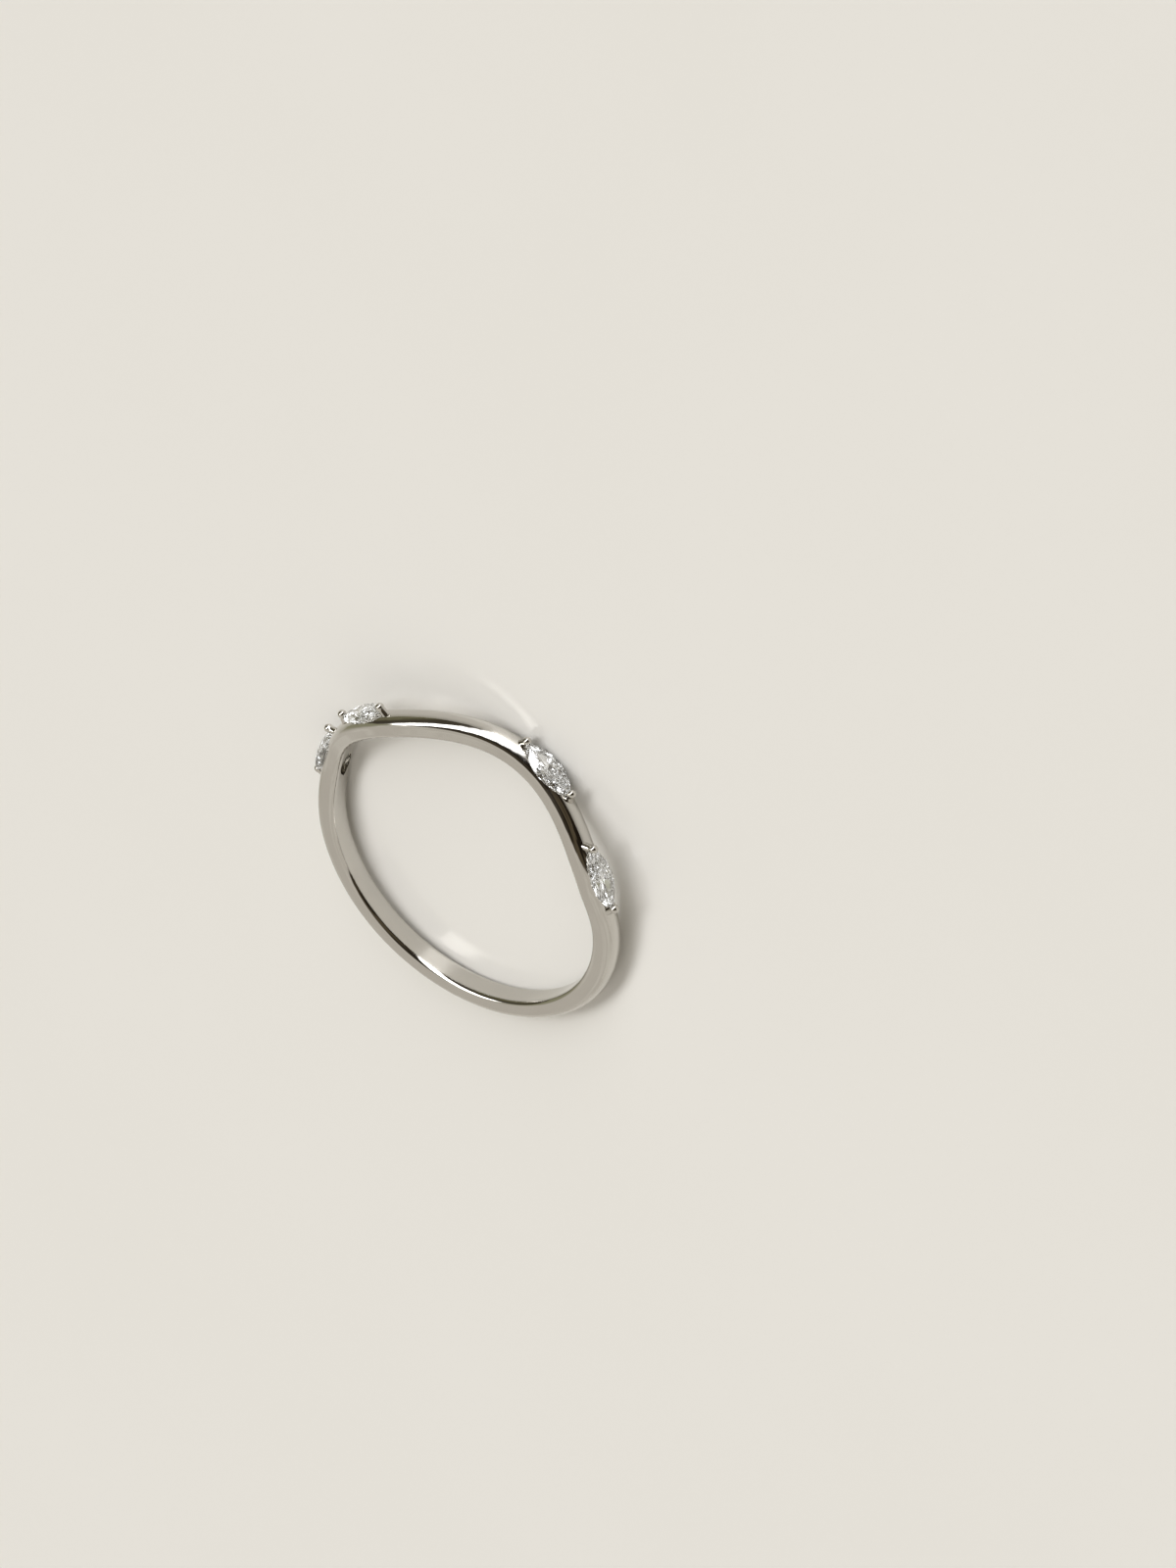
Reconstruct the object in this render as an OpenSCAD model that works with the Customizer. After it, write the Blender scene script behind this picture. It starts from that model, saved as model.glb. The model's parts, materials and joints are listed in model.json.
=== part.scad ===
// Slim wavy ring with four marquise diamonds, each held by two claws at its tips.
// The ring lies on its side, as it rests by itself. Sizes are in millimetres.

/* [Band] */
// Diameter of the finger hole
hole_d = 16.5; // [15:0.1:19]
// Width of the band along the finger
band_w = 1.4; // [1.3:0.05:1.7]
// Thickness of the band at the top of its dome
band_t = 1.2; // [1.1:0.05:1.4]
// Height of the flat sides, from the finger to where the dome starts
side_h = 0.65; // [0.5:0.05:0.7]
// Radius of the comfort rounding along both inner edges
inner_round = 0.15; // [0.1:0.01:0.2]
// Size of the wave, where 1 is the full wave
wave_scale = 1; // [0.8:0.05:1.1]

/* [Diamonds] */
// Length of a marquise, from tip to tip
stone_l = 3.4; // [3.2:0.05:3.6]
// Width of a marquise across its middle
stone_w = 1.6; // [1.5:0.05:1.7]
// Turn from the middle of the row to the two inner stones, in degrees
inner_turn = 34; // [32:0.5:36]
// Turn from the middle of the row to the two outer stones, in degrees
outer_turn = 70.7; // [69:0.1:73]
// Height of the girdle over the finger hole's wall
girdle_h = 1.25; // [1.2:0.01:1.35]

/* [Claws] */
// Radius of the round bead that ends a claw
bead_r = 0.23; // [0.2:0.01:0.26]
// Radius of a claw's post where it leaves the band
foot_r = 0.26; // [0.22:0.01:0.28]
// How far the foot of a claw stands outside the bead
post_lean = 0.2; // [0.1:0.05:0.3]

/* [Hidden] */

metal = [0.80, 0.79, 0.76];
diamond = [0.93, 0.95, 0.97];
round_fn = 48;
hole_fn = 180;
hole_r = hole_d / 2;

// Sections round the band, points over the dome, and the first turn of the inner rounding
section_count = 160;
dome_steps = 10;
edge_turns = [28, 58, 90];
// How far the swept section reaches inside the finger hole before the hole is cut
bore_spare = 0.12;

// The wave is a smooth curve over control heights, one every wave_step degrees from the middle
// of the row. It is odd: what rises on one side falls on the other.
wave_step = 15;
wave_heights = [0.61, 0.70, 0.26, -0.43, -0.76, -0.32, -0.17, -0.07, -0.01];

// Cut of the stones: heights as shares of the stone's width, outlines as shares of the girdle,
// and heights of the star and keel points as shares of the crown and the pavilion
crown_ratio = 0.14;
girdle_ratio = 0.03;
pavilion_ratio = 0.43;
table_ratio = 0.58;
star_rise = 0.52;
keel_drop = 0.78;
outline_steps = 8;
// A claw's bead stands a little beyond the tip, and its neck is thinner than its foot
bead_out = 0.03;
neck_ratio = 0.75;
// Gap between a stone and the metal, and the slot that opens the seat to the finger
stone_gap = 0.04;
slot_l = 1.9;
slot_w = 0.8;
// Outlines of a stone's room at the table and at the keel, as shares of the girdle
room_table_ratio = 0.78;
room_keel_ratio = 0.1;

crown_h = stone_w * crown_ratio;
girdle_t = stone_w * girdle_ratio;
pavilion_h = stone_w * pavilion_ratio;
girdle_z = hole_r + girdle_h;
bead_x = stone_l / 2 + bead_out;
bead_z = girdle_z + girdle_t + bead_r / 2;
post_foot_z = hole_r + side_h;
// The slot runs up to where the pavilion is as wide as the slot
slot_top = girdle_z - pavilion_h * (1 - slot_w / stone_w);
stone_turns = [-outer_turn, -inner_turn, inner_turn, outer_turn];

// One lobe of the smooth curve, two steps wide on each side
function lobe(t) = let (d = abs(t))
    d < 1 ? 2 / 3 - d * d + d * d * d / 2 : d < 2 ? pow(2 - d, 3) / 6 : 0;
function total(list, i = 0) = i < len(list) ? list[i] + total(list, i + 1) : 0;
function wrapped(turn) = turn > 180 ? turn - 360 : turn < -180 ? turn + 360 : turn;

// Shift of the band along the finger at a turn from the middle of the row
function wave(turn) = let (t = wrapped(turn) / wave_step)
    wave_scale * total([for (i = [0 : len(wave_heights) - 1])
        wave_heights[i] * (lobe(t - i - 1) - lobe(t + i + 1))]);
// Angle between the band's run and the plane of the ring
function wave_slope(turn) =
    atan2(wave(turn + 0.5) - wave(turn - 0.5), girdle_z * PI / 180);

// Section of the band: [along the finger, out from the finger hole's wall]
edge_x = band_w / 2 - inner_round;
inner_edge = [for (a = edge_turns)
    [edge_x + inner_round * sin(a), inner_round * (1 - cos(a))]];
dome = [for (i = [0 : dome_steps]) let (a = 180 * i / dome_steps)
    [band_w / 2 * cos(a), side_h + (band_t - side_h) * sin(a)]];
spare_x = inner_edge[0].x - bore_spare;
section = concat([[spare_x, -bore_spare]], inner_edge, dome,
    [for (i = [len(inner_edge) - 1 : -1 : 0]) [-inner_edge[i].x, inner_edge[i].y]],
    [[-spare_x, -bore_spare]]);

// A place on the ring: turn from the middle of the row, distance from the axis, height
function ring_point(turn, r, z) = [-r * sin(turn), -r * cos(turn), z];
band_points = [for (k = [0 : section_count - 1]) let (turn = 360 * k / section_count)
    for (p = section) ring_point(turn, hole_r + p.y, p.x - wave(turn))];

// Triangles between rings of points, closed round each ring, and round the rings as well
// when there is no end
function strip_faces(rings, size, closed) = [
    for (k = [0 : rings - (closed ? 1 : 2)], i = [0 : size - 1]) let (
        a = k * size + i,
        b = k * size + (i + 1) % size,
        c = ((k + 1) % rings) * size + (i + 1) % size,
        d = ((k + 1) % rings) * size + i)
    each [[a, b, c], [a, c, d]]];

// A point of a stone's own frame, once the stone is on the band: X along the band, Z outwards
function placed(turn, p) = let (
    slope = wave_slope(turn),
    along = p.x * cos(slope) - p.y * sin(slope),
    up = p.x * sin(slope) + p.y * cos(slope))
    ring_point(turn, p.z, up - wave(turn)) + along * [cos(turn), -sin(turn), 0];

// The ring lies on the girdles of the two stones where the wave dips, and on its back
girdle_side = [0, -stone_w / 2, girdle_z];
low_left = placed(-outer_turn, girdle_side);
low_right = placed(inner_turn, girdle_side);
back_turn = 180 + (inner_turn - outer_turn) / 2;
low_back = ring_point(back_turn, hole_r + side_h, -band_w / 2 - wave(back_turn));
floor_normal = cross(low_back - low_left, low_right - low_left);
floor_up = floor_normal / norm(floor_normal) * sign(floor_normal.z);
rest_tilt = acos(floor_up.z);
rest_axis = cross(floor_up, [0, 0, 1]) / sin(rest_tilt);
girdle_points = [for (turn = stone_turns, p = outline(1, girdle_z)) placed(turn, p)];
rest_points = concat(band_points, girdle_points);
// Height of a point over the finger hole's centre once the ring is tilted to its rest
function tilted_z(p) = floor_up * p;
lift = -min([for (p = rest_points) tilted_z(p)]);

module resting() {
    translate([0, 0, lift])
        rotate(a = rest_tilt, v = rest_axis)
            children();
}

// Puts a stone's own frame on the band: X along the band, Z out from the finger
module on_band(turn) {
    translate([0, 0, -wave(turn)])
        rotate([0, 0, -turn])
            rotate([90, 0, 0])
                rotate([0, 0, wave_slope(turn)])
                    children();
}

// Outline of a marquise: two equal arcs that meet in the tips
function arc_r(l, w) = (l * l + w * w) / (4 * w);
function outline_point(l, w, i) = let (
    r = arc_r(l, w),
    half = asin(l / 2 / r),
    side = i < outline_steps ? 1 : -1,
    a = half * (1 - 2 * (i % outline_steps) / outline_steps))
    [side * r * sin(a), side * (r * cos(a) - r + w / 2)];
function outline(scale_by, z, grow = 0) = [for (i = [0 : 2 * outline_steps - 1])
    let (p = outline_point(stone_l * scale_by + 2 * grow, stone_w * scale_by + 2 * grow, i))
    [p.x, p.y, z]];

module marquise_shape(l, w) {
    r = arc_r(l, w);
    intersection() {
        translate([0, r - w / 2]) circle(r = r, $fn = round_fn);
        translate([0, w / 2 - r]) circle(r = r, $fn = round_fn);
    }
}

// Where the main facets on two neighbouring girdle points meet, once both have come in by a share.
// A main facet runs along the outline at its point, so that each kite is flat.
function main_normal(i) = let (i8 = i % 8)
    i8 == 0 ? [1, 0] : i8 == 4 ? [-1, 0] :
    let (a = asin(stone_l / 2 / arc_r(stone_l, stone_w)) * (1 - (i8 % 4) / 2))
    (i8 < 4 ? 1 : -1) * [sin(a), cos(a)];
function main_offset(i, share) =
    main_normal(i) * outline_point(stone_l, stone_w, 2 * (i % 8)) * share;
function meeting(i, share, z) = let (
    a = main_normal(i),
    b = main_normal(i + 1),
    da = main_offset(i, share),
    db = main_offset(i + 1, share))
    [each [da * b.y - db * a.y, a.x * db - b.x * da] / (a.x * b.y - b.x * a.y), z];

// Marquise brilliant. The rings run from the table down: 8 table points, 8 star points,
// 16 girdle points twice, 8 keel points and the culet.
module marquise_brilliant() {
    girdle_top = girdle_z + girdle_t;
    table_ring = outline(table_ratio, girdle_top + crown_h);
    star_share = 1 - star_rise * (1 - table_ratio);
    points = concat(
        [for (i = [0 : 7]) table_ring[2 * i]],
        [for (i = [0 : 7]) meeting(i, star_share, girdle_top + crown_h * star_rise)],
        outline(1, girdle_top),
        outline(1, girdle_z),
        [for (i = [0 : 7]) meeting(i, 1 - keel_drop, girdle_z - pavilion_h * keel_drop)],
        [[0, 0, girdle_z - pavilion_h]]);
    star = 8;
    top = 16;
    low = 32;
    keel = 48;
    culet = 56;
    crown_faces = [for (i = [0 : 7]) let (
        next = (i + 1) % 8,
        g = 2 * i,
        after = (g + 2) % 16)
        each [[i, next, star + i],
            [next, star + next, top + after, star + i],
            [star + i, top + g + 1, top + g],
            [star + i, top + after, top + g + 1]]];
    girdle_faces = [for (g = [0 : 15]) let (next = (g + 1) % 16)
        [top + g, top + next, low + next, low + g]];
    pavilion_faces = [for (i = [0 : 7]) let (
        next = (i + 1) % 8,
        g = 2 * i,
        after = (g + 2) % 16)
        each [[keel + i, low + g, low + g + 1],
            [keel + i, low + g + 1, low + after],
            [keel + i, low + after, keel + next, culet]]];
    polyhedron(points,
        concat([[for (i = [7 : -1 : 0]) i]], crown_faces, girdle_faces, pavilion_faces));
}

// Room that the seat and the claws leave for a stone, a little larger than the stone
module stone_room() {
    size = 2 * outline_steps;
    points = concat(
        outline(room_table_ratio, girdle_z + girdle_t + crown_h + stone_gap, stone_gap),
        outline(1, girdle_z + girdle_t, stone_gap),
        outline(1, girdle_z, stone_gap),
        outline(room_keel_ratio, girdle_z - pavilion_h - stone_gap, stone_gap));
    polyhedron(points, concat(
        [[for (i = [0 : size - 1]) i]],
        strip_faces(4, size, false),
        [[for (i = [size - 1 : -1 : 0]) 3 * size + i]]));
}

// One claw: a post that rises from the dome beyond the tip and a bead over the tip
module claw() {
    rise = bead_z - post_foot_z;
    translate([bead_x, 0, bead_z]) {
        sphere(r = bead_r, $fn = round_fn);
        rotate([0, 180 - atan2(post_lean, rise), 0])
            cylinder(r1 = neck_ratio * foot_r, r2 = foot_r, h = norm([post_lean, rise]), $fn = round_fn);
    }
}

// The stone's seat, and under it the slot through to the finger hole
module setting_cut() {
    stone_room();
    translate([0, 0, hole_r - band_t])
        linear_extrude(slot_top - hole_r + band_t)
            marquise_shape(slot_l, slot_w);
}

module band() {
    color(metal)
        resting()
            difference() {
                union() {
                    polyhedron(band_points, strip_faces(section_count, len(section), true));
                    for (turn = stone_turns, side = [0, 180])
                        on_band(turn) rotate([0, 0, side]) claw();
                }
                for (turn = stone_turns)
                    on_band(turn) setting_cut();
                cylinder(r = hole_r, h = 6 * band_w, center = true, $fn = hole_fn);
            }
}

module stone(index) {
    color(diamond)
        resting()
            on_band(stone_turns[index])
                marquise_brilliant();
}

band();
stone(0);  // diamond_1
stone(1);  // diamond_2
stone(2);  // diamond_3
stone(3);  // diamond_4
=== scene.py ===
import json
import math
import bmesh
import bpy
from mathutils import Matrix, Vector


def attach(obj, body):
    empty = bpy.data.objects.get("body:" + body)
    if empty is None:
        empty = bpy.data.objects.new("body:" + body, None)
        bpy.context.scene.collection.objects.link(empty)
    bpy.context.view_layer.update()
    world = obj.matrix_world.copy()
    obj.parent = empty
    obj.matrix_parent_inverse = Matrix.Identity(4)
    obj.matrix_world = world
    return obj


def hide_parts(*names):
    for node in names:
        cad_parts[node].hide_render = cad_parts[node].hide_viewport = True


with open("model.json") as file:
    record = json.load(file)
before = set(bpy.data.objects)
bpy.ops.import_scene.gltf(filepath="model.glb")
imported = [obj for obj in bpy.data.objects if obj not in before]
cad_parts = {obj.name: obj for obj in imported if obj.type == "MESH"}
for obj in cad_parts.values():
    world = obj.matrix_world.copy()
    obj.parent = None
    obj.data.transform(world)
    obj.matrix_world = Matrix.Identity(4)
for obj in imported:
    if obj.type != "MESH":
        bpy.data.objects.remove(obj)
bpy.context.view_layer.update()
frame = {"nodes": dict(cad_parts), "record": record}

mm = 0.001                   # in metres
tiny = 0.001                 # in millimetres, for merging and picking

# Pieces are modelled upright on the finger hole, in millimetres; this lays them down in metres,
# because the wavy ring rests on the girdles of two stones and on its back
fingerHole = next(m for m in frame["record"]["mounts"] if m["name"] == "finger_hole")
holeRadius = fingerHole["dims"]["r_mm"]
toRest = Vector((0, 0, 1)).rotation_difference(Vector(fingerHole["axis"])).to_matrix()
atRest = Matrix.Translation(fingerHole["pos_m"]) @ toRest.to_4x4() @ Matrix.Diagonal((mm, mm, mm, 1))


# Operators act on all that is selected, and the frame's own nodes come selected
def clearSelection():
    if bpy.context.mode != "OBJECT":
        bpy.ops.object.mode_set(mode="OBJECT")
    bpy.ops.object.select_all(action="DESELECT")


def makeActive(piece):
    clearSelection()
    piece.select_set(True)
    bpy.context.view_layer.objects.active = piece


# The new primitive is active and selected all over; it gets its name here
def startPiece(name):
    piece = bpy.context.object
    piece.name = name
    piece.data.name = name
    return piece


# In edit mode: selects the vertices, edges or faces that a test picks
def pick(piece, test, kind="VERT"):
    bpy.ops.mesh.select_all(action="DESELECT")
    bpy.ops.mesh.select_mode(type=kind)
    mesh = bmesh.from_edit_mesh(piece.data)
    for item in {"VERT": mesh.verts, "EDGE": mesh.edges, "FACE": mesh.faces}[kind]:
        if test(item):
            item.select_set(True)
    mesh.select_flush_mode()
    bmesh.update_edit_mesh(piece.data)


# In edit mode: pulls the selected face along Z and scales it about the Z axis
def pull(rise, share=1.0):
    bpy.ops.mesh.extrude_region_move(TRANSFORM_OT_translate={"value": (0, 0, rise)})
    if share != 1.0:
        bpy.ops.transform.resize(value=(share, share, 1), center_override=(0, 0, 0))


def closeShape():
    bpy.ops.mesh.select_all(action="SELECT")
    bpy.ops.mesh.normals_make_consistent(inside=False)
    bpy.ops.object.mode_set(mode="OBJECT")


def placePiece(piece, place):
    makeActive(piece)
    piece.matrix_world = place @ piece.matrix_world
    bpy.ops.object.transform_apply(location=True, rotation=True, scale=True)


def copyPiece(piece, name):
    made = piece.copy()
    made.data = piece.data.copy()
    made.name = name
    bpy.context.scene.collection.objects.link(made)
    return made


def joinPieces(pieces, name):
    makeActive(pieces[0])
    for piece in pieces:
        piece.select_set(True)
    bpy.ops.object.join()
    return startPiece(name)


# Merges stray vertices and leaves only triangles, which the exact boolean takes most surely
def makeReady(piece):
    makeActive(piece)
    bpy.ops.object.mode_set(mode="EDIT")
    bpy.ops.mesh.select_all(action="SELECT")
    bpy.ops.mesh.remove_doubles(threshold=2 * tiny)
    bpy.ops.mesh.dissolve_degenerate(threshold=2 * tiny)
    bpy.ops.mesh.select_all(action="SELECT")
    bpy.ops.mesh.quads_convert_to_tris()
    bpy.ops.object.mode_set(mode="OBJECT")


def combine(piece, other, operation):
    makeReady(other)
    makeReady(piece)
    bpy.ops.object.modifier_add(type="BOOLEAN")
    cut = piece.modifiers[-1]
    cut.operation = operation
    cut.solver = "EXACT"
    cut.object = other
    bpy.ops.object.modifier_apply(modifier=cut.name)
    bpy.data.objects.remove(other)


# All sizes are in millimetres and angles in degrees, read off the same ring as the solids
hoop = {
    "width": 1.4,            # along the finger
    "thickness": 1.2,        # at the top of the dome
    "sideHeight": 0.65,      # flat sides, below the dome
    "innerRound": 0.28,      # comfort rounding along the inner edges
    "waveStep": 15.0,        # between the wave's control heights, from the middle of the row
    "waveHeights": [0.61, 0.70, 0.26, -0.43, -0.76, -0.32, -0.17, -0.07, -0.01],
    "sections": 240,
    "domePoints": 36,
    "roundSteps": 10,
    "flatOver": 0.2,         # an edge of the section longer than this is cut up
    "flatCuts": 5,
    "crispOver": 32.0,       # edges sharper than this stay crisp
}


# Share of a control height, a smooth hump that fades out two steps away
def hump(t):
    d = abs(t)
    if d < 1:
        return 2 / 3 - d * d + d ** 3 / 2
    return (2 - d) ** 3 / 6 if d < 2 else 0.0


# How far the band swings along the finger; the far half of the row swings the other way
def waveAt(turn):
    t = ((turn + 180) % 360 - 180) / hoop["waveStep"]
    return sum(h * (hump(t - i) - hump(t + i)) for i, h in enumerate(hoop["waveHeights"], 1))


# The D-shaped section is drawn at the ring's side, spun round, and then waved ring by ring
def modelHoop():
    clearSelection()
    halfWidth = hoop["width"] / 2
    domeHeight = hoop["thickness"] - hoop["sideHeight"]
    domeStart = holeRadius + hoop["sideHeight"]
    bpy.ops.mesh.primitive_circle_add(
        vertices=2 * hoop["domePoints"], radius=halfWidth, fill_type="NGON",
        location=(domeStart, 0, 0), rotation=(math.pi / 2, 0, 0))
    piece = startPiece("wavy_band")
    bpy.ops.object.transform_apply(location=True, rotation=True, scale=True)
    bpy.ops.object.mode_set(mode="EDIT")
    bpy.ops.transform.resize(value=(domeHeight / halfWidth, 1, 1), center_override=(domeStart, 0, 0))
    bpy.ops.mesh.bisect(plane_co=(domeStart, 0, 0), plane_no=(1, 0, 0), clear_inner=True)
    pick(piece, lambda e: all(abs(v.co.x - domeStart) < tiny for v in e.verts), "EDGE")
    bpy.ops.mesh.extrude_edges_move(
        TRANSFORM_OT_translate={"value": (holeRadius - domeStart, 0, 0)})
    pick(piece, lambda e: all(abs(v.co.x - domeStart) < tiny for v in e.verts), "EDGE")
    bpy.ops.mesh.dissolve_edges(use_verts=False)
    pick(piece, lambda v: abs(v.co.x - holeRadius) < tiny)
    bpy.ops.mesh.bevel(offset=hoop["innerRound"], segments=hoop["roundSteps"], affect="VERTICES")
    pick(piece, lambda e: e.calc_length() > hoop["flatOver"], "EDGE")
    bpy.ops.mesh.subdivide(number_cuts=hoop["flatCuts"])
    bpy.ops.mesh.select_all(action="SELECT")
    bpy.ops.mesh.delete(type="ONLY_FACE")
    bpy.ops.mesh.select_all(action="SELECT")
    bpy.ops.mesh.spin(steps=hoop["sections"], angle=2 * math.pi, center=(0, 0, 0), axis=(0, 0, 1))
    bpy.ops.mesh.select_all(action="SELECT")
    bpy.ops.mesh.remove_doubles(threshold=tiny)
    bpy.ops.mesh.normals_make_consistent(inside=False)
    waveRings(piece)
    bpy.ops.object.mode_set(mode="OBJECT")
    print("hoop: sections spun and waved", len(piece.data.polygons), "faces")
    return piece


def waveRings(piece):
    step = 360 / hoop["sections"]
    rings = {}
    for v in bmesh.from_edit_mesh(piece.data).verts:
        turn = math.degrees(math.atan2(-v.co.x, -v.co.y))
        rings.setdefault(round(turn / step) % hoop["sections"], set()).add(v.index)
    for place, members in rings.items():
        shift = waveAt(place * step)
        if abs(shift) > tiny / 10:
            pick(piece, lambda v: v.index in members)
            bpy.ops.transform.translate(value=(0, 0, -shift))


# A stone stands on the band with X along the band and Z out from the finger
setting = {
    "turns": [-70.7, -34.0, 34.0, 70.7],     # from the middle of the row
    "slopeOver": 1.0,        # the stone lies along the wave's slope over this turn
    "stoneLength": 3.4,
    "stoneWidth": 1.6,
    "girdleHeight": 1.25,    # over the finger hole's wall
    "girdleThick": 0.048,
    "crownHeight": 0.224,
    "pavilionHeight": 0.688,
    "gap": 0.04,             # between the stone and its seat
    "tableShare": 0.78,      # of the outline, at the top of the stone's room
    "keelShare": 0.1,        # of the outline, at the bottom
    "slotLength": 1.9,
    "slotWidth": 0.8,
    "slotStart": 0.5,        # inside the finger hole's wall
    "circlePoints": 160,     # in the full circle that a side's arc is cut from
}
girdleAt = holeRadius + setting["girdleHeight"]


def onBand(turn):
    half = setting["slopeOver"] / 2
    rise = waveAt(turn + half) - waveAt(turn - half)
    slope = math.atan2(rise, math.radians(setting["slopeOver"]) * girdleAt)
    return (Matrix.Translation((0, 0, -waveAt(turn)))
            @ Matrix.Rotation(-math.radians(turn), 4, "Z")
            @ Matrix.Rotation(math.pi / 2, 4, "X")
            @ Matrix.Rotation(slope, 4, "Z"))


# Flat marquise face at a height: half a lens, mirrored along its chord
def startMarquise(name, length, width, height):
    clearSelection()
    arc = (length ** 2 + width ** 2) / (4 * width)
    bpy.ops.mesh.primitive_circle_add(
        vertices=setting["circlePoints"], radius=arc, fill_type="NGON",
        location=(0, width / 2 - arc, height))
    piece = startPiece(name)
    bpy.ops.object.transform_apply(location=True, rotation=True, scale=True)
    bpy.ops.object.mode_set(mode="EDIT")
    bpy.ops.mesh.bisect(plane_co=(0, 0, 0), plane_no=(0, 1, 0), clear_inner=True)
    bpy.ops.mesh.select_all(action="SELECT")
    bpy.ops.mesh.duplicate()
    bpy.ops.transform.resize(value=(1, -1, 1), center_override=(0, 0, height))
    bpy.ops.mesh.select_all(action="SELECT")
    bpy.ops.mesh.remove_doubles(threshold=tiny)
    pick(piece, lambda e: all(abs(v.co.y) < tiny for v in e.verts), "EDGE")
    bpy.ops.mesh.dissolve_edges(use_verts=False)
    bpy.ops.mesh.select_all(action="SELECT")
    return piece


# The room for a stone, and the slot that opens it to the finger
def modelSeatCutter():
    gap = setting["gap"]
    keel = setting["keelShare"]
    room = startMarquise("seat_room", setting["stoneLength"] + 2 * gap, setting["stoneWidth"] + 2 * gap,
                         girdleAt - setting["pavilionHeight"] - gap)
    bpy.ops.transform.resize(value=(keel, keel, 1), center_override=(0, 0, 0))
    pull(setting["pavilionHeight"] + gap, 1 / keel)
    pull(setting["girdleThick"])
    pull(setting["crownHeight"] + gap, setting["tableShare"])
    closeShape()
    slotStart = holeRadius - setting["slotStart"]
    slotTop = girdleAt - setting["pavilionHeight"] * (1 - setting["slotWidth"] / setting["stoneWidth"])
    slot = startMarquise("seat_slot", setting["slotLength"], setting["slotWidth"], slotStart)
    pull(slotTop - slotStart)
    closeShape()
    combine(room, slot, "UNION")
    print("seat: room and slot joined", len(room.data.polygons), "faces")
    return room


claw = {
    "beadRadius": 0.23,
    "footRadius": 0.26,
    "neckRadius": 0.195,
    "taper": 1.6,            # above 1, the post thins soonest near its foot
    "lean": 0.2,             # how far the foot stands outside the bead
    "beadOut": 0.03,         # bead beyond the stone's tip
    "footHeight": 0.65,      # over the finger hole's wall
    "topTurn": 0.12,         # radians from the bead's pole to its small flat top
    "sides": 32,
    "postSteps": 6,
    "beadSteps": 14,
}


# A claw is drawn up from its foot: a post that thins towards its neck, and a round bead
def modelClaw():
    rise = girdleAt + setting["girdleThick"] + claw["beadRadius"] / 2 - holeRadius - claw["footHeight"]
    reach = math.hypot(claw["lean"], rise)
    firstTurn = math.asin(claw["neckRadius"] / claw["beadRadius"])
    neckHeight = reach - claw["beadRadius"] * math.cos(firstTurn)
    outline = []
    for i in range(claw["postSteps"]):
        share = i / claw["postSteps"]
        swelling = (claw["footRadius"] - claw["neckRadius"]) * (1 - share) ** claw["taper"]
        outline.append((neckHeight * share, claw["neckRadius"] + swelling))
    for i in range(claw["beadSteps"] + 1):
        turn = firstTurn + (math.pi - claw["topTurn"] - firstTurn) * i / claw["beadSteps"]
        outline.append((reach - claw["beadRadius"] * math.cos(turn), claw["beadRadius"] * math.sin(turn)))
    clearSelection()
    bpy.ops.mesh.primitive_circle_add(vertices=claw["sides"], radius=outline[0][1], fill_type="NGON")
    piece = startPiece("claw")
    bpy.ops.object.mode_set(mode="EDIT")
    for (low, wide), (high, narrow) in zip(outline, outline[1:]):
        pull(high - low, narrow / wide)
    closeShape()
    beadX = setting["stoneLength"] / 2 + claw["beadOut"]
    foot = Vector((beadX + claw["lean"], 0, holeRadius + claw["footHeight"]))
    placePiece(piece, Matrix.Translation(foot) @ Matrix.Rotation(-math.atan2(claw["lean"], rise), 4, "Y"))
    print("claw: post and bead drawn up", len(piece.data.polygons), "faces")
    return piece


def modelBand():
    piece = modelHoop()
    oneClaw = modelClaw()
    oneCutter = modelSeatCutter()
    claws = []
    cutters = []
    for number, turn in enumerate(setting["turns"], 1):
        for side in (0, math.pi):
            made = copyPiece(oneClaw, f"claw_{number}_{'a' if side else 'b'}")
            placePiece(made, onBand(turn) @ Matrix.Rotation(side, 4, "Z"))
            claws.append(made)
        made = copyPiece(oneCutter, f"cutter_{number}")
        placePiece(made, onBand(turn))
        cutters.append(made)
    bpy.data.objects.remove(oneClaw)
    bpy.data.objects.remove(oneCutter)
    combine(piece, joinPieces(claws, "claws"), "UNION")
    combine(piece, joinPieces(cutters, "cutters"), "DIFFERENCE")
    makeReady(piece)
    bpy.ops.object.shade_smooth_by_angle(angle=math.radians(hoop["crispOver"]))
    placePiece(piece, atRest)
    print("band: claws joined and seats cut", len(piece.data.polygons), "faces")
    return piece


# Colours are sRGB, as read off a screen
def linear(code):
    parts = [int(code[i:i + 2], 16) / 255 for i in (0, 2, 4)]
    return tuple(c / 12.92 if c <= 0.04045 else ((c + 0.055) / 1.055) ** 2.4 for c in parts) + (1.0,)


def addNode(tree, kind, settings=None, inputs=None):
    node = tree.nodes.new(kind)
    for name, value in (settings or {}).items():
        setattr(node, name, value)
    for name, value in (inputs or {}).items():
        if isinstance(value, bpy.types.NodeSocket):
            tree.links.new(value, node.inputs[name])
        else:
            node.inputs[name].default_value = value
    return node


def startMaterial(name):
    material = bpy.data.materials.new(name)
    material.use_nodes = True
    material.node_tree.nodes.clear()
    return material, material.node_tree


def finishMaterial(tree, shader):
    addNode(tree, "ShaderNodeOutputMaterial", inputs={"Surface": shader.outputs[0]})


def dress(piece, material):
    piece.data.materials.clear()
    piece.data.materials.append(material)


whiteGold = {
    "tones": ("C8C5BF", "CFCCC6"),
    "roughness": (0.05, 0.11),
    "hazeSize": 1.8,         # soft patches left by the buff
    "swellSize": 0.9,        # where the buff dwelt: it breaks up the edges of the highlights
    "swellDepth": 0.014,
    "lineSpace": 0.06,       # real polishing lines are ten times finer
    "lineDepth": 0.01,
}


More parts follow.
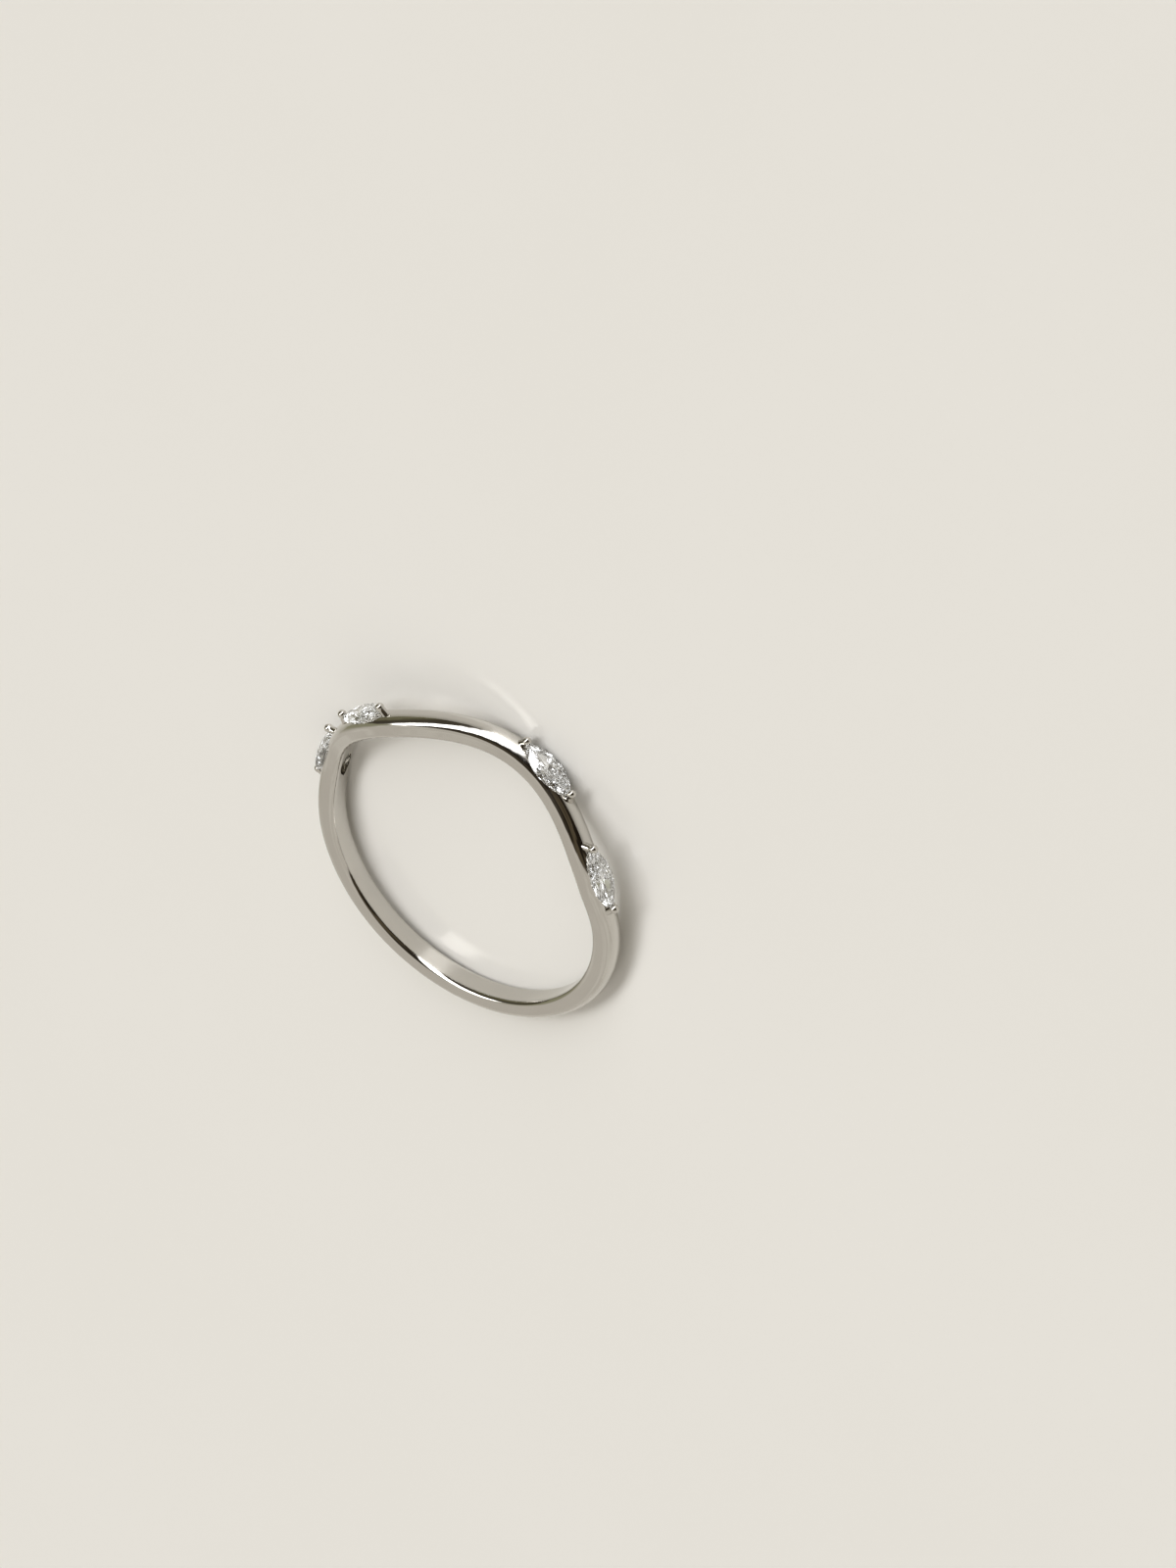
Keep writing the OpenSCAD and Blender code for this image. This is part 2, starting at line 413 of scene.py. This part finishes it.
# 18 carat white gold, cast and hand polished: a warm mirror with a trace of polishing haze
def polishedWhiteGold():
    material, tree = startMaterial("polished_white_gold")
    place = addNode(tree, "ShaderNodeTexCoord").outputs["Object"]
    haze = addNode(tree, "ShaderNodeTexNoise", inputs={
        "Vector": place, "Scale": 1 / (whiteGold["hazeSize"] * mm), "Detail": 3.0})
    smooth, rough = whiteGold["roughness"]
    polish = addNode(tree, "ShaderNodeMapRange", inputs={
        "Value": haze.outputs["Fac"], "From Min": 0.35, "From Max": 0.65, "To Min": smooth, "To Max": rough})
    low, high = whiteGold["tones"]
    tone = addNode(tree, "ShaderNodeMix", {"data_type": "RGBA"}, {
        0: haze.outputs["Fac"], 6: linear(low), 7: linear(high)})
    swell = addNode(tree, "ShaderNodeTexNoise", inputs={
        "Vector": place, "Scale": 1 / (whiteGold["swellSize"] * mm), "Detail": 1.0})
    swellBump = addNode(tree, "ShaderNodeBump", inputs={
        "Height": swell.outputs["Fac"], "Strength": 1.0, "Distance": whiteGold["swellDepth"] * mm})
    lines = addNode(tree, "ShaderNodeTexNoise", inputs={
        "Vector": place, "Scale": 1 / (whiteGold["lineSpace"] * mm), "Detail": 2.0})
    lineBump = addNode(tree, "ShaderNodeBump", inputs={
        "Height": lines.outputs["Fac"], "Strength": 0.02, "Distance": whiteGold["lineDepth"] * mm,
        "Normal": swellBump.outputs["Normal"]})
    shader = addNode(tree, "ShaderNodeBsdfPrincipled", inputs={
        "Base Color": tone.outputs[2], "Metallic": 1.0,
        "Roughness": polish.outputs["Result"], "Normal": lineBump.outputs["Normal"]})
    finishMaterial(tree, shader)
    return material


diamond = {
    "tones": ("FDFEFF", "F4F8FC"),
    "cloudSize": 0.9,        # faint clouds in the crystal
}


# Colourless diamond, cut and polished: bright flashes between dark facets
def cutDiamond():
    material, tree = startMaterial("cut_diamond")
    place = addNode(tree, "ShaderNodeTexCoord").outputs["Object"]
    cloud = addNode(tree, "ShaderNodeTexNoise", inputs={
        "Vector": place, "Scale": 1 / (diamond["cloudSize"] * mm), "Detail": 2.0})
    low, high = diamond["tones"]
    tone = addNode(tree, "ShaderNodeMix", {"data_type": "RGBA"}, {
        0: cloud.outputs["Fac"], 6: linear(low), 7: linear(high)})
    shader = addNode(tree, "ShaderNodeBsdfPrincipled", inputs={
        "Base Color": tone.outputs[2], "Roughness": 0.0, "IOR": 2.417, "Transmission Weight": 1.0})
    finishMaterial(tree, shader)
    return material


acrylic = {
    "width": 1600.0,
    "tones": ("EDEBE6", "F0EEEA"),
    "roughness": (0.14, 0.20),
    "mottleSize": 25.0,
}


# White acrylic table top: an even milky sheet under a polished face that mirrors softly
def polishedAcrylic():
    material, tree = startMaterial("polished_acrylic")
    place = addNode(tree, "ShaderNodeTexCoord").outputs["Object"]
    mottle = addNode(tree, "ShaderNodeTexNoise", inputs={
        "Vector": place, "Scale": 1 / (acrylic["mottleSize"] * mm), "Detail": 2.0})
    low, high = acrylic["tones"]
    tone = addNode(tree, "ShaderNodeMix", {"data_type": "RGBA"}, {
        0: mottle.outputs["Fac"], 6: linear(low), 7: linear(high)})
    smooth, rough = acrylic["roughness"]
    polish = addNode(tree, "ShaderNodeMapRange", inputs={
        "Value": mottle.outputs["Fac"], "To Min": smooth, "To Max": rough})
    shader = addNode(tree, "ShaderNodeBsdfPrincipled", inputs={
        "Base Color": tone.outputs[2], "Roughness": polish.outputs["Result"], "IOR": 1.49})
    finishMaterial(tree, shader)
    return material


def layFloor():
    clearSelection()
    bpy.ops.mesh.primitive_plane_add(size=acrylic["width"] * mm, location=(0, 0, 0))
    floor = startPiece("floor")
    dress(floor, polishedAcrylic())


# The photograph's frame, and where the camera stands round the upright ring
view = {
    "frameWide": 1200,
    "frameHigh": 1600,
    "pixelsPerMm": 20.2,
    "ringX": 476.7,          # where the hole's centre falls in the frame
    "ringY": 878.9,
    "distance": 400.0,
    "azimuth": 38.1,
    "elevation": 39.6,
    "roll": -5.1,
    "sensor": 36.0,
}


# The upright ring's X, depth and height, laid down on its side
def layDown(v):
    return toRest @ Vector((-v[0], -v[2], -v[1]))


def cameraAxes():
    a = math.radians(view["azimuth"])
    e = math.radians(view["elevation"])
    r = math.radians(view["roll"])
    back = Vector((math.sin(a) * math.cos(e), -math.cos(a) * math.cos(e), math.sin(e)))
    side = Vector((math.cos(a), math.sin(a), 0))
    up = back.cross(side)
    return [layDown(v) for v in (
        side * math.cos(r) + up * math.sin(r), up * math.cos(r) - side * math.sin(r), back)]


def setCamera(axes):
    right, up, back = axes
    scale = view["pixelsPerMm"]
    asideX = (view["ringX"] - view["frameWide"] / 2) / scale * mm
    asideY = (view["frameHigh"] / 2 - view["ringY"]) / scale * mm
    data = bpy.data.cameras.new("camera")
    camera = bpy.data.objects.new("camera", data)
    bpy.context.scene.collection.objects.link(camera)
    place = Vector(fingerHole["pos_m"]) - right * asideX - up * asideY + back * view["distance"] * mm
    camera.matrix_world = Matrix.Translation(place) @ Matrix((right, up, back)).transposed().to_4x4()
    data.sensor_width = view["sensor"]
    data.lens = scale * view["distance"] / view["frameHigh"] * view["sensor"]
    data.clip_start = 0.01
    data.clip_end = 5.0
    bpy.context.scene.camera = camera


# The room that lights and fills the mirrors is painted by direction, and stays put when the view turns
room = {
    "toward": {              # in the camera's right, up and back
        "across": (-0.674, 0.738, 0.0),          # the long window runs round this direction
        "ahead": (-0.128, -0.117, 0.985),        # and faces this one
        "rise": (-0.068, 0.768, 0.637),          # to the ceiling
    },
    "edges": {               # what it is measured along, the cosine there, and its softness
        "windowStart": ("across", 0.38, 0.05),
        "windowStop": ("across", 0.64, 0.05),
        "curtainStop": ("across", 0.90, 0.05),
        "sageStart": ("across", 0.42, 0.15),
        "windowEnd": ("ahead", 0.42, 0.10),
        "wallTop": ("rise", 0.06, 0.05),
        "clutter": ("patches", 0.52, 0.08),
    },
    "patchScale": 3.2,
    "colours": {
        "paleWall": "DFDBD2",
        "shadedWall": "D3CEC5",
        "sage": "9C9A82",    # what the walls turn to on the window's side
        "dark": "241E17",
        "brown": "5E5443",   # furniture that shows through the dark
        "curtain": "4C463B",
        "olive": "64604B",
        "moss": "7E7A62",
        "jamb": "A8A598",    # where the window ends
        "glass": "FFFFFF",
    },
    "windowStrength": 5.9,
    "layers": [              # each layer, the edge inside it, and what lies before and past the edge
        ("furniture", "clutter", "dark", "brown"),
        ("corner", "clutter", "olive", "moss"),
        ("window", "windowEnd", "jamb", "glass"),
        ("nearSide", "windowStart", "furniture", "window"),
        ("farSide", "curtainStop", "curtain", "corner"),
        ("upper", "windowStop", "nearSide", "farSide"),
        ("walls", "clutter", "shadedWall", "paleWall"),
        ("lower", "sageStart", "walls", "sage"),
        ("room", "wallTop", "lower", "upper"),
    ],
    "turnsInside": 32,       # a diamond holds light through many of them
    "turnsBetween": 24,
}


def setStudio(axes):
    world = bpy.data.worlds.new("studio")
    world.use_nodes = True
    tree = world.node_tree
    tree.nodes.clear()
    way = addNode(tree, "ShaderNodeTexCoord").outputs["Generated"]
    along = {"patches": addNode(tree, "ShaderNodeTexNoise", inputs={
        "Vector": way, "Scale": room["patchScale"], "Detail": 3.0}).outputs["Fac"]}
    for name, parts in room["toward"].items():
        toward = sum((axis * part for axis, part in zip(axes, parts)), Vector()).normalized()
        along[name] = addNode(tree, "ShaderNodeVectorMath", {"operation": "DOT_PRODUCT"}, {
            0: way, 1: tuple(toward)}).outputs["Value"]
    past = {}
    for name, (measure, edge, softness) in room["edges"].items():
        past[name] = addNode(tree, "ShaderNodeMapRange", {"interpolation_type": "SMOOTHSTEP"}, {
            "Value": along[measure], "From Min": edge - softness, "From Max": edge + softness,
            "To Min": 0.0, "To Max": 1.0}).outputs["Result"]
    paint = {name: linear(code) for name, code in room["colours"].items()}
    paint["glass"] = tuple(c * room["windowStrength"] for c in paint["glass"][:3]) + (1.0,)
    for name, edge, before, after in room["layers"]:
        paint[name] = addNode(tree, "ShaderNodeMix", {"data_type": "RGBA"}, {
            0: past[edge], 6: paint[before], 7: paint[after]}).outputs[2]
    sky = addNode(tree, "ShaderNodeBackground", inputs={"Color": paint["room"], "Strength": 1.0})
    addNode(tree, "ShaderNodeOutputWorld", inputs={"Surface": sky.outputs[0]})
    scene = bpy.context.scene
    scene.world = world
    scene.view_settings.view_transform = "Standard"
    scene.cycles.max_bounces = room["turnsInside"]
    scene.cycles.transmission_bounces = room["turnsInside"]
    scene.cycles.glossy_bounces = room["turnsBetween"]


bandPiece = modelBand()
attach(bandPiece, "root")
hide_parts("band")
dress(bandPiece, polishedWhiteGold())

diamondMaterial = cutDiamond()
for number in range(1, len(setting["turns"]) + 1):
    dress(frame["nodes"][f"diamond_{number}"], diamondMaterial)
print("stones: dressed")

layFloor()
ringAxes = cameraAxes()
setCamera(ringAxes)
setStudio(ringAxes)
print("studio: floor, camera and room set")
